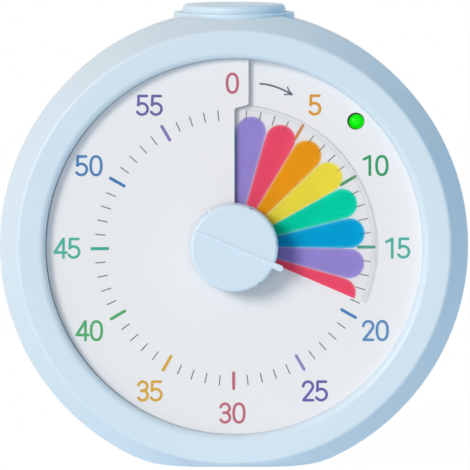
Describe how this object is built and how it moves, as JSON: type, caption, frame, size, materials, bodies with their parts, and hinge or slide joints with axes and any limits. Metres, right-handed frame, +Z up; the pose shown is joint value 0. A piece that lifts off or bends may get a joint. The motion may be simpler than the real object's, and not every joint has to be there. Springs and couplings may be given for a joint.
{
  "type": "visual timer",
  "caption": "Round desk timer: a knob winds a coloured petal disc out of a slit in its helical dial, with a large push button on top.",
  "frame": {"origin": "on the table under the middle of the body's depth and width", "axes": "+Z up; the dial faces -Y; +X is to the right as seen from the front"},
  "size_m": [0.15, 0.0532, 0.1479],
  "materials": {
    "shell": "light blue moulded ABS, satin",
    "button": "light blue moulded ABS, satin",
    "knob": "pale blue moulded ABS, satin",
    "pointer": "white blue moulded ABS",
    "dial": "white printed satin plastic",
    "film": "clear film with translucent coloured petals",
    "natural": "natural ABS",
    "black": "black ABS",
    "movement": "black moulded case",
    "gear": "white acetal",
    "lamp": "green diffused lens",
    "copper": "enamelled copper winding",
    "board": "green solder mask",
    "cell": "plain grey jacket",
    "steel": "nickel plated steel"
  },
  "bodies": {
    "case": {"front_housing": "shell", "rear_housing": "shell", "dial_plate": "dial", "chassis_plate": "natural", "indicator_lamp": "lamp", "movement_housing": "movement", "movement_cover": "movement", "stator": "steel", "coil": "copper", "main_board": "board", "button_board": "board", "tact_switch": "black", "button_collar": "button", "return_spring": "steel", "buzzer": "black", "switch_body": "black", "battery_1": "cell", "battery_2": "cell", "contact_plate_left": "steel", "contact_plate_right": "steel", "contact_spring_1": "steel", "contact_spring_2": "steel", "housing_screw_1": "steel", "housing_screw_2": "steel", "housing_screw_3": "steel", "housing_screw_4": "steel", "movement_screw_1": "steel", "movement_screw_2": "steel", "movement_screw_3": "steel", "movement_screw_4": "steel", "board_screw_1": "steel", "board_screw_2": "steel", "button_board_screw_1": "steel", "button_board_screw_2": "steel"},
    "knob": {"knob": "knob", "pointer_bar": "pointer", "drive_shaft": "steel", "output_wheel": "gear", "clutch_spring": "steel"},
    "sheet": {"petal_sheet": "film", "disc_hub": "natural"},
    "intermediate": {"intermediate_wheel": "gear"},
    "rotor": {"rotor": "gear"},
    "button": {"button_cap": "button"},
    "door": {"battery_door": "shell"},
    "slider": {"switch_slider": "black"}
  },
  "joints": [
    {"name": "knob_turn", "type": "hinge", "parent": "case", "child": "knob", "pos_m": [0, -0.0214, 0.071], "axis": [0, 1, 0], "range_deg": [-113.4, 246.6]},
    {"name": "sheet_climb", "type": "slide", "parent": "knob", "child": "sheet", "axis": [0, -1, 0], "range_m": [-0.00064, 0.00138]},
    {"name": "intermediate_spin", "type": "hinge", "parent": "case", "child": "intermediate", "pos_m": [0.01301, -0.0214, 0.08401], "axis": [0, 1, 0], "range_deg": [-890, 410]},
    {"name": "rotor_spin", "type": "hinge", "parent": "case", "child": "rotor", "pos_m": [0.01661, -0.0214, 0.06842], "axis": [0, 1, 0], "range_deg": [-1226, 2665]},
    {"name": "button_press", "type": "slide", "parent": "case", "child": "button", "axis": [0, 0, -1], "range_m": [0, 0.0015], "stiffness_N_per_m": 400, "springref_m": -0.002, "deforming": ["return_spring"]},
    {"name": "door_swing", "type": "hinge", "parent": "case", "child": "door", "pos_m": [0, 0.0256, 0.0138], "axis": [-1, 0, 0], "range_deg": [0, 90]},
    {"name": "sound_switch_slide", "type": "slide", "parent": "case", "child": "slider", "axis": [1, 0, 0], "range_m": [0, 0.006]}
  ],
  "couplings": [
    {"joint": "sheet_climb", "follows": "knob_turn", "m_per_rad": 0.00031831},
    {"joint": "intermediate_spin", "follows": "knob_turn", "ratio": -3.6},
    {"joint": "rotor_spin", "follows": "knob_turn", "ratio": 10.8}
  ]
}
